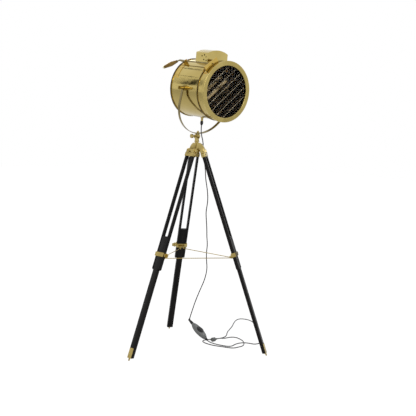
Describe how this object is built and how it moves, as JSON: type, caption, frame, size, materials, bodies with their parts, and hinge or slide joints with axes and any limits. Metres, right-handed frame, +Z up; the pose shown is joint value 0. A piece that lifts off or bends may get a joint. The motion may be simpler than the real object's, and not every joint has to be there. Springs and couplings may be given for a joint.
{
  "type": "tripod spotlight floor lamp",
  "caption": "Spotlight floor lamp with a drum head in a yoke on a folding wooden tripod, brass fittings, shutter lever and cord with foot switch.",
  "frame": {"origin": "centre of the lamp's box, without its cord, on the floor under the tripod", "axes": "+Z up the lamp, the head faces -Y and leans down a little, +X along the tilt axis"},
  "size_m": [1.2877, 0.831, 1.7582],
  "materials": {
    "polished_brass": "satin polished",
    "gold_shells": "spun, gold toned and lacquered",
    "lens_glass": "clear",
    "dark_slats": "dark bronze",
    "bright_reflector": "polished",
    "ceramic": "matte",
    "bulb_glass": "clear",
    "black_plastic": "matte",
    "grey_plastic": "matte",
    "cord_rubber": "matte",
    "black_wood": "black satin lacquer"
  },
  "bodies": {
    "tripod_head": {"hub_casting": "polished_brass", "hinge_bolts": "polished_brass", "cord_drop": "cord_rubber", "cord_fall": "cord_rubber", "foot_switch": "grey_plastic", "cord_loops": "cord_rubber", "plug": "black_plastic"},
    "switch_button": {"switch_button": "black_plastic"},
    "swivel": {"swivel_post": "polished_brass", "swivel_nut": "polished_brass", "knuckle_bolt": "polished_brass"},
    "knuckle_knob": {"knuckle_knob": "polished_brass"},
    "yoke": {"knuckle_eye": "polished_brass", "yoke_strap": "polished_brass", "yoke_nut": "polished_brass"},
    "lamp_head": {"drum_shell": "gold_shells", "rear_cover": "gold_shells", "front_collar": "gold_shells", "front_bezel": "gold_shells", "front_glass": "lens_glass", "rod_lug": "polished_brass", "lever_bracket": "polished_brass", "reflector": "bright_reflector", "lamp_socket": "ceramic", "bulb": "bulb_glass", "vent_hood": "gold_shells", "trunnions": "polished_brass", "cable_gland": "polished_brass", "strain_relief": "black_plastic"},
    "trunnion_knob_left": {"trunnion_knob_left": "polished_brass"},
    "trunnion_knob_right": {"trunnion_knob_right": "polished_brass"},
    "shutter_rod": {"shutter_rod": "polished_brass"},
    "shutter_lever": {"shutter_lever": "polished_brass"},
    "shutter_slat_1": {"shutter_slat_1": "dark_slats"},
    "shutter_slat_2": {"shutter_slat_2": "dark_slats"},
    "shutter_slat_3": {"shutter_slat_3": "dark_slats"},
    "shutter_slat_4": {"shutter_slat_4": "dark_slats"},
    "shutter_slat_5": {"shutter_slat_5": "dark_slats"},
    "shutter_slat_6": {"shutter_slat_6": "dark_slats"},
    "leg_1_upper": {"leg_1_cap": "polished_brass", "leg_1_rails": "black_wood", "leg_1_collar": "polished_brass"},
    "leg_1_lower": {"leg_1_lower": "black_wood", "leg_1_shoe": "polished_brass"},
    "leg_1_screw": {"leg_1_collar_screw": "polished_brass"},
    "leg_1_stretcher": {"leg_1_stretcher": "polished_brass"},
    "leg_2_upper": {"leg_2_cap": "polished_brass", "leg_2_rails": "black_wood", "leg_2_collar": "polished_brass"},
    "leg_2_lower": {"leg_2_lower": "black_wood", "leg_2_shoe": "polished_brass"},
    "leg_2_screw": {"leg_2_collar_screw": "polished_brass"},
    "leg_2_stretcher": {"leg_2_stretcher": "polished_brass"},
    "leg_3_upper": {"leg_3_cap": "polished_brass", "leg_3_rails": "black_wood", "leg_3_collar": "polished_brass"},
    "leg_3_lower": {"leg_3_lower": "black_wood", "leg_3_shoe": "polished_brass"},
    "leg_3_screw": {"leg_3_collar_screw": "polished_brass"},
    "leg_3_stretcher": {"leg_3_stretcher": "polished_brass"}
  },
  "joints": [
    {"name": "pan", "type": "hinge", "parent": "tripod_head", "child": "swivel", "pos_m": [0.09298, -0.02223, 1.2332], "axis": [0, 0, 1], "range_deg": [-90, 90], "deforming": ["cord_drop"]},
    {"name": "knuckle_tilt", "type": "hinge", "parent": "swivel", "child": "yoke", "pos_m": [0.09298, -0.02223, 1.2612], "axis": [1, 0, 0], "range_deg": [-40, 40], "deforming": ["cord_drop"]},
    {"name": "head_tilt", "type": "hinge", "parent": "yoke", "child": "lamp_head", "pos_m": [0.09298, -0.09806, 1.53281], "axis": [1, 0, 0], "range_deg": [-60, 50], "deforming": ["cord_drop"]},
    {"name": "knuckle_knob_turn", "type": "hinge", "parent": "swivel", "child": "knuckle_knob", "pos_m": [0.09298, -0.02223, 1.2612], "axis": [1, 0, 0], "continuous": true},
    {"name": "trunnion_knob_left_turn", "type": "hinge", "parent": "lamp_head", "child": "trunnion_knob_left", "pos_m": [0.09298, -0.09806, 1.53281], "axis": [1, 0, 0], "continuous": true},
    {"name": "trunnion_knob_right_turn", "type": "hinge", "parent": "lamp_head", "child": "trunnion_knob_right", "pos_m": [0.09298, -0.09806, 1.53281], "axis": [1, 0, 0], "continuous": true},
    {"name": "shutter_lever_pull", "type": "hinge", "parent": "lamp_head", "child": "shutter_lever", "pos_m": [-0.0069, -0.00411, 1.68048], "axis": [0.8141, -0.0446, 0.579], "range_deg": [0, 30]},
    {"name": "shutter_rod_slide", "type": "slide", "parent": "lamp_head", "child": "shutter_rod", "axis": [0, -0.9971, -0.0767], "range_m": [0, 0.00801]},
    {"name": "switch_press", "type": "slide", "parent": "tripod_head", "child": "switch_button", "axis": [-0.1591, 0.5728, -0.8041], "range_m": [0, 0.003], "stiffness_N_per_m": 400},
    {"name": "slat_1_turn", "type": "hinge", "parent": "lamp_head", "child": "shutter_slat_1", "pos_m": [0.16661, -0.22306, 1.43673], "axis": [0.7604, -0.0498, 0.6475], "range_deg": [-88.01, 0]},
    {"name": "slat_2_turn", "type": "hinge", "parent": "lamp_head", "child": "shutter_slat_2", "pos_m": [0.13924, -0.22552, 1.46869], "axis": [0.7604, -0.0498, 0.6475], "range_deg": [-88.01, 0]},
    {"name": "slat_3_turn", "type": "hinge", "parent": "lamp_head", "child": "shutter_slat_3", "pos_m": [0.11187, -0.22798, 1.50064], "axis": [0.7604, -0.0498, 0.6475], "range_deg": [-88.01, 0]},
    {"name": "slat_4_turn", "type": "hinge", "parent": "lamp_head", "child": "shutter_slat_4", "pos_m": [0.08449, -0.23044, 1.5326], "axis": [0.7604, -0.0498, 0.6475], "range_deg": [-88.01, 0]},
    {"name": "slat_5_turn", "type": "hinge", "parent": "lamp_head", "child": "shutter_slat_5", "pos_m": [0.05712, -0.23289, 1.56455], "axis": [0.7604, -0.0498, 0.6475], "range_deg": [-88.01, 0]},
    {"name": "slat_6_turn", "type": "hinge", "parent": "lamp_head", "child": "shutter_slat_6", "pos_m": [0.02975, -0.23535, 1.59651], "axis": [0.7604, -0.0498, 0.6475], "range_deg": [-88.01, 0]},
    {"name": "leg_1_fold", "type": "hinge", "parent": "tripod_head", "child": "leg_1_upper", "pos_m": [0.11632, -0.05471, 1.1782], "axis": [0.8121, 0.5835, 0], "range_deg": [0, 14]},
    {"name": "leg_1_slide", "type": "slide", "parent": "leg_1_upper", "child": "leg_1_lower", "axis": [0.1986, -0.2764, -0.9403], "range_m": [-0.46, 0.055]},
    {"name": "leg_1_screw_turn", "type": "hinge", "parent": "leg_1_upper", "child": "leg_1_screw", "pos_m": [0.24205, -0.22968, 0.583], "axis": [0.8121, 0.5835, 0], "continuous": true},
    {"name": "leg_1_stretcher_swing", "type": "hinge", "parent": "leg_1_upper", "child": "leg_1_stretcher", "pos_m": [0.23915, -0.21022, 0.562], "axis": [-0.9951, -0.0993, 0], "range_deg": [0, 81.21]},
    {"name": "leg_2_fold", "type": "hinge", "parent": "tripod_head", "child": "leg_2_upper", "pos_m": [0.10944, 0.01423, 1.1782], "axis": [-0.9114, 0.4115, 0], "range_deg": [0, 14]},
    {"name": "leg_2_slide", "type": "slide", "parent": "leg_2_upper", "child": "leg_2_lower", "axis": [0.1401, 0.3102, -0.9403], "range_m": [-0.46, 0.055]},
    {"name": "leg_2_screw_turn", "type": "hinge", "parent": "leg_2_upper", "child": "leg_2_screw", "pos_m": [0.19811, 0.2106, 0.583], "axis": [-0.9114, 0.4115, 0], "continuous": true},
    {"name": "leg_2_stretcher_swing", "type": "hinge", "parent": "leg_2_upper", "child": "leg_2_stretcher", "pos_m": [0.1827, 0.19835, 0.562], "axis": [0.5835, -0.8121, 0], "range_deg": [0, 81.21]},
    {"name": "leg_3_fold", "type": "hinge", "parent": "tripod_head", "child": "leg_3_upper", "pos_m": [0.05318, -0.0262, 1.1782], "axis": [0.0993, -0.9951, 0], "range_deg": [0, 14]},
    {"name": "leg_3_slide", "type": "slide", "parent": "leg_3_upper", "child": "leg_3_lower", "axis": [-0.3387, -0.0338, -0.9403], "range_m": [-0.46, 0.055]},
    {"name": "leg_3_screw_turn", "type": "hinge", "parent": "leg_3_upper", "child": "leg_3_screw", "pos_m": [-0.16121, -0.0476, 0.583], "axis": [0.0993, -0.9951, 0], "continuous": true},
    {"name": "leg_3_stretcher_swing", "type": "hinge", "parent": "leg_3_upper", "child": "leg_3_stretcher", "pos_m": [-0.14291, -0.05482, 0.562], "axis": [0.4115, 0.9114, 0], "range_deg": [0, 81.21]}
  ],
  "couplings": [
    {"joint": "shutter_rod_slide", "follows": "shutter_lever_pull", "m_per_rad": 0.015279},
    {"joint": "slat_1_turn", "follows": "shutter_lever_pull", "ratio": -2.9333},
    {"joint": "slat_2_turn", "follows": "shutter_lever_pull", "ratio": -2.9333},
    {"joint": "slat_3_turn", "follows": "shutter_lever_pull", "ratio": -2.9333},
    {"joint": "slat_4_turn", "follows": "shutter_lever_pull", "ratio": -2.9333},
    {"joint": "slat_5_turn", "follows": "shutter_lever_pull", "ratio": -2.9333},
    {"joint": "slat_6_turn", "follows": "shutter_lever_pull", "ratio": -2.9333},
    {"joint": "leg_1_stretcher_swing", "follows": "leg_1_fold", "ratio": 5.8},
    {"joint": "leg_2_fold", "follows": "leg_1_fold", "ratio": 1},
    {"joint": "leg_2_stretcher_swing", "follows": "leg_1_fold", "ratio": 5.8},
    {"joint": "leg_3_fold", "follows": "leg_1_fold", "ratio": 1},
    {"joint": "leg_3_stretcher_swing", "follows": "leg_1_fold", "ratio": 5.8}
  ]
}
